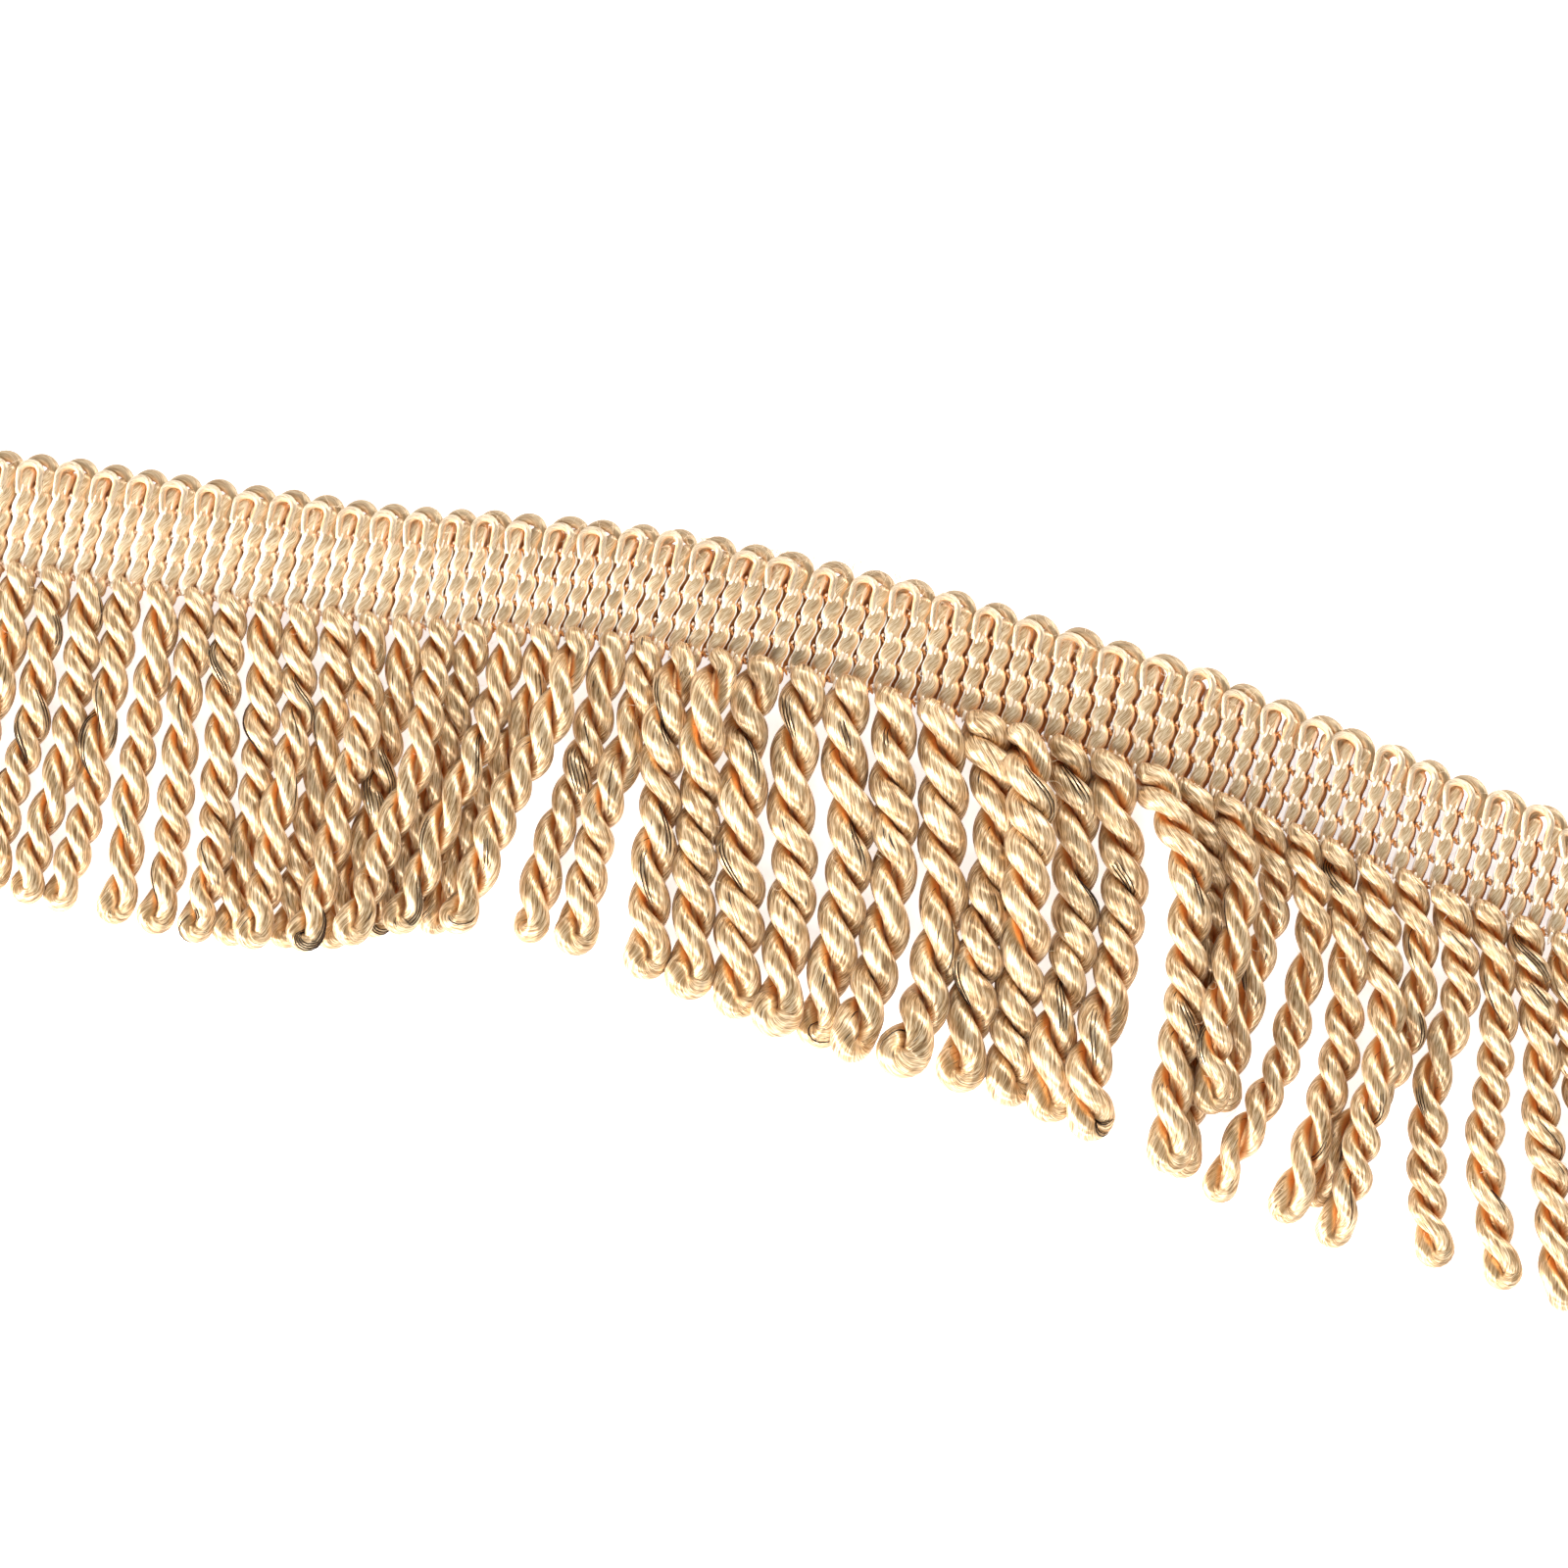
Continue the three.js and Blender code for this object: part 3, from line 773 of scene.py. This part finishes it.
def bead(s, v, z, tall, wide, lean=0.0, tint=0.0):
    """A short stitch strand standing over the columns."""
    t = np.linspace(-1, 1, 6)
    centres = on_header(s + lean * t * tall / 2, v + t * tall / 2, z - 0.18 * t * t)
    size = wide / 2 * np.sqrt(np.clip(1 - t * t, 0.05, 1))
    stitches.tube(centres, UP, size, size, 6, tint=np.full((6, 6), tint))


def columns_at(i, k, s, nudge):
    """Column k over cord i at the front, with the pale strands that paint highlights on its edges, and
    the one behind it.
    """
    tight, central, aligned = weave_at(i)
    pitch = picot_ends[i + 1] - picot_ends[i]
    half = (0.208 + 0.022 * tight - 0.024 * aligned) * pitch
    slant = 0.16 - 0.08 * aligned
    # The last column's flank faces no neighbour, so it takes hardly any painted shade.
    at_end = i == CORD_COUNT - 1 and k == 1
    middle, wide, v = column(
        front, s, half, deep=0.80, z=FRONT_Z, low=COLUMN_LOW[k], top=12.1, sides=12,
        slant=slant, nudge=nudge,
        side=0.2 if at_end else 0.85 - 0.35 * tight,
        patch=0.35 + 0.25 * tight + 0.6 * central,
        dull=0.05 * smooth(MIDDLE_FROM, MIDDLE_TO, i) + 0.11 * aligned,
        waist=0.78 - 0.12 * aligned,
    )
    keep = (v > 0.3) & (v < 9.5)
    middle, wide, v = middle[keep], wide[keep], v[keep]
    # Pale strands on the column's edges: a painted highlight on its rims.
    rim = 0.13 + 0.17 * tight + 0.08 * central
    edge_strand(edges, middle - wide + 0.8 * rim, v, rim, RIM_Z + 0.25 * tight, nudge)
    if central > 0.3:
        edge_strand(edges, middle + wide - 0.1, v, 0.16, RIM_Z + 0.02, nudge)
    # The column behind is in painted shade, over all of it and more on its right flank.
    column(
        back, s + pitch * (0.12 - 0.04 * aligned), half, deep=0.6, z=BACK_Z, low=-0.2, top=12.0, sides=8,
        slant=slant, nudge=nudge,
        shade=0.1 if at_end else 0.35 - 0.25 * tight,
        side=0.2 if at_end else 0.9,
    )


def stitch(s, gap, v, tight):
    """One chain stitch: two strands over the column at s, and three over the gap to its right."""
    slack = rng.normal(0, 0.1, 2)
    size = 1 - 0.35 * tight
    bead(s - 0.36, v + slack[0], OVER_COLUMN_Z, tall=1.7 * size, wide=0.46, lean=0.1)
    bead(s + 0.14, v - 0.2 + slack[1], OVER_COLUMN_Z, tall=1.3, wide=0.40 * size, lean=0.15,
         tint=0.1 + 0.3 * tight)
    # The strands over the gap take more tint: painted shade where they sink into it.
    bead(gap - 0.16, v + 0.10, OVER_GAP_Z, tall=0.9, wide=0.32, lean=0.5, tint=0.7 - 0.4 * tight)
    bead(gap + 0.10, v - 0.14, OVER_GAP_Z, tall=0.8, wide=0.32, lean=-0.6, tint=0.8 - 0.5 * tight)
    bead(gap, v + 0.32, OVER_GAP_Z + 0.15, tall=0.4, wide=0.3, tint=0.2)


def picot(i):
    """The picot over cord i: a thick arch, a finer loop on it, and a strand between the loop's legs."""
    tight, _, aligned = weave_at(i)
    start, pitch = picot_ends[i], picot_ends[i + 1] - picot_ends[i]
    loose = 1 - 0.5 * tight + 0.3 * aligned
    tall, wide, aside = (loose * rng.normal(0, spread) for spread in (0.16, 0.06, 0.16))
    arch(
        arches, start + 0.57 * pitch + aside, half_s=(0.39 + 0.3 * wide) * pitch,
        centre_v=11.25, rise_v=1.62 + tall / 2,
        feet=((start + 0.30 * pitch, 8.7), (start + 0.92 * pitch, 8.7)), z=1.6, out=0.66, side=0.62,
    )
    arch(
        loops, start + 0.33 * pitch + aside, half_s=(0.30 + wide / 2) * pitch,
        centre_v=11.2 + tall, rise_v=1.15 + tall,
        feet=((start + 0.08 * pitch, 8.8), (start + 0.62 * pitch, 8.8)), z=2.3, out=0.43, side=0.5,
    )
    bead(start + 0.36 * pitch, 10.4, 2.5, tall=2.4, wide=0.4, lean=0.1, tint=0.3)


front, back, loops, arches, stitches, edges = (Piece() for _ in range(6))
for i in range(CORD_COUNT):
    pitch = picot_ends[i + 1] - picot_ends[i]
    for k, place in enumerate(COLUMN_AT):
        s = picot_ends[i] + place * pitch
        nudge = rng.normal(0, NUDGE)
        columns_at(i, k, s, nudge)
        for v in np.array(STITCH_V) + nudge:
            stitch(s, s + 0.25 * pitch, v, weave_at(i)[0])
    picot(i)

# Two threads run the length of the header on its back, along each row.
along_s = np.linspace(picot_ends[0], picot_ends[-1], CORD_COUNT * 8)
for v in STITCH_V:
    for sign in (1, -1):
        wave = sign * np.sin(np.arange(len(along_s)) * math.pi / 2 + math.pi / 4)
        stitches.tube(on_header(along_s, v + 0.3 * wave, THREAD_Z), UP, 0.18, 0.2, 5)

front_weft = front.build("front_weft", header_yarn, "header_yarn")
back_weft = back.build("back_weft", shaded_back_yarn, "header_yarn")
picot_loops = loops.build("picot_loops", highlit_loop_yarn, "header_yarn")
picot_arches = arches.build("picot_arches", shaded_back_yarn, "header_yarn")
chain_stitches = stitches.build("chain_stitches", stitch_yarn, "header_yarn")
rim_highlight_strands = edges.build("rim_highlight_strands", rim_highlight_yarn, "header_yarn")

# Loose filaments. Those on the header crowd about one cord, with this spread along it.
HEADER_HAIRS, CORD_HAIRS = 300, 260
HAIRS_ABOUT, HAIRS_SPREAD = 23, 34.0
HEADER_HAIR, CORD_HAIR = 0.034, 0.03
HAIR_STEPS = 7


def hair(start, heading, length, size):
    """A loose filament that curls away from the yarn."""
    curl = rng.normal(0, 0.5) + rng.normal(0, 0.25, HAIR_STEPS)
    bearing = heading + np.cumsum(curl) * 0.5
    step = length / HAIR_STEPS
    flat = np.cumsum(np.column_stack([np.cos(bearing), np.sin(bearing)]) * step, axis=0)
    rise = rng.uniform(-0.1, 0.35) * length * np.sin(np.linspace(0.2, 2.6, HAIR_STEPS))
    path = np.concatenate([[start], start + np.column_stack([flat, rise])])
    path[:, 2] = np.maximum(path[:, 2], 0.1)
    taper = np.linspace(1, 0.5, HAIR_STEPS + 1)
    hairs.tube(path, UP + 0.01, size * taper, size * taper, 3)


hairs = Piece()
for _ in range(HEADER_HAIRS):
    s = rng.normal(roots[HAIRS_ABOUT], HAIRS_SPREAD)
    if picot_ends[0] < s < picot_ends[-1]:
        start = on_header(s, rng.uniform(10.5, 13.2), rng.uniform(2.0, 3.0))
        hair(start, rng.normal(math.pi / 2, 1.2), rng.uniform(1.0, 3.4), HEADER_HAIR)
for _ in range(CORD_HAIRS):
    i = int(rng.integers(CORD_COUNT))
    down, path = lines[i]
    k = int(rng.integers(5, len(down) - 2))
    side = rng.choice([-1, 1]) * rng.uniform(0.2, 0.42) * hangs[i]["girth"]
    start = np.array([path[k, 0] + side, path[k, 1], heights[i][k] + 0.35 * hangs[i]["girth"]])
    hair(start, rng.uniform(0, 2 * math.pi), rng.uniform(0.8, 2.5), CORD_HAIR)
loose_hairs = hairs.build("loose_hairs", hair_yarn, "cord_yarn")

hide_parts("header_band")
for obj in cord_pieces:
    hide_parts("bullion_fringe")

# Floor and light, in metres.
FLOOR_HALF = 1.5
FLOOR_CORNERS = [(x * FLOOR_HALF, y * FLOOR_HALF, 0) for x, y in ((-1, -1), (1, -1), (1, 1), (-1, 1))]
FLOOR_GLOW, SKY_STRENGTH = 0.7, 0.65

mesh = bpy.data.meshes.new("floor")
mesh.from_pydata(FLOOR_CORNERS, [], [(0, 1, 2, 3)])
floor = bpy.data.objects.new("floor", mesh)
bpy.context.scene.collection.objects.link(floor)
floor_paint, _, _, floor_bsdf = shader("floor")
floor_bsdf.inputs["Base Color"].default_value = (0.92, 0.92, 0.92, 1)
floor_bsdf.inputs["Roughness"].default_value = 0.9
floor_bsdf.inputs["Specular IOR Level"].default_value = 0.1
# The floor is a lit table, so that it stays pale between the cords.
floor_bsdf.inputs["Emission Color"].default_value = (1, 1, 1, 1)
floor_bsdf.inputs["Emission Strength"].default_value = FLOOR_GLOW
mesh.materials.append(floor_paint)

world = bpy.data.worlds.new("world")
world.use_nodes = True
# The room is bright at the sides and dim overhead, so that round yarns show their form.
sky = world.node_tree
direction = sky.nodes.new("ShaderNodeTexCoord")
parts = sky.nodes.new("ShaderNodeSeparateXYZ")
fade = sky.nodes.new("ShaderNodeValToRGB")
fade.color_ramp.elements[0].position = 0.15
fade.color_ramp.elements[0].color = (1, 1, 1, 1)
fade.color_ramp.elements[1].position = 0.75
fade.color_ramp.elements[1].color = (0.2, 0.2, 0.2, 1)
sky.links.new(direction.outputs["Generated"], parts.inputs[0])
sky.links.new(parts.outputs[2], fade.inputs[0])
sky.links.new(fade.outputs[0], sky.nodes["Background"].inputs[0])
sky.nodes["Background"].inputs[1].default_value = SKY_STRENGTH
bpy.context.scene.world = world


def softbox(name, place, size, watts):
    """A rectangular soft light aimed at the trim's middle."""
    data = bpy.data.lights.new(name, "AREA")
    data.shape = "RECTANGLE"
    data.size, data.size_y = size
    data.energy = watts
    light = bpy.data.objects.new(name, data)
    light.location = place
    aim = -np.array(place)
    tilt = math.acos(-aim[2] / np.linalg.norm(aim))
    light.rotation_euler = (tilt, 0, math.atan2(aim[1], aim[0]) - math.pi / 2)
    bpy.context.scene.collection.objects.link(light)


softbox("left_box", (-0.98, -0.30, 0.36), (0.6, 0.35), 14.0)
softbox("near_left", (-0.38, -0.15, 0.16), (0.2, 0.1), 0.9)
softbox("low_bar", (-0.20, -1.00, 0.28), (1.0, 0.12), 9.0)
softbox("near_bar", (-0.15, -0.50, 0.72), (0.9, 0.10), 5.0)
softbox("right_box", (0.80, 0.60, 0.40), (0.6, 0.3), 9.0)
softbox("far_bar", (0.10, 0.90, 0.55), (0.9, 0.12), 3.5)

bpy.context.scene.view_settings.view_transform = "Standard"
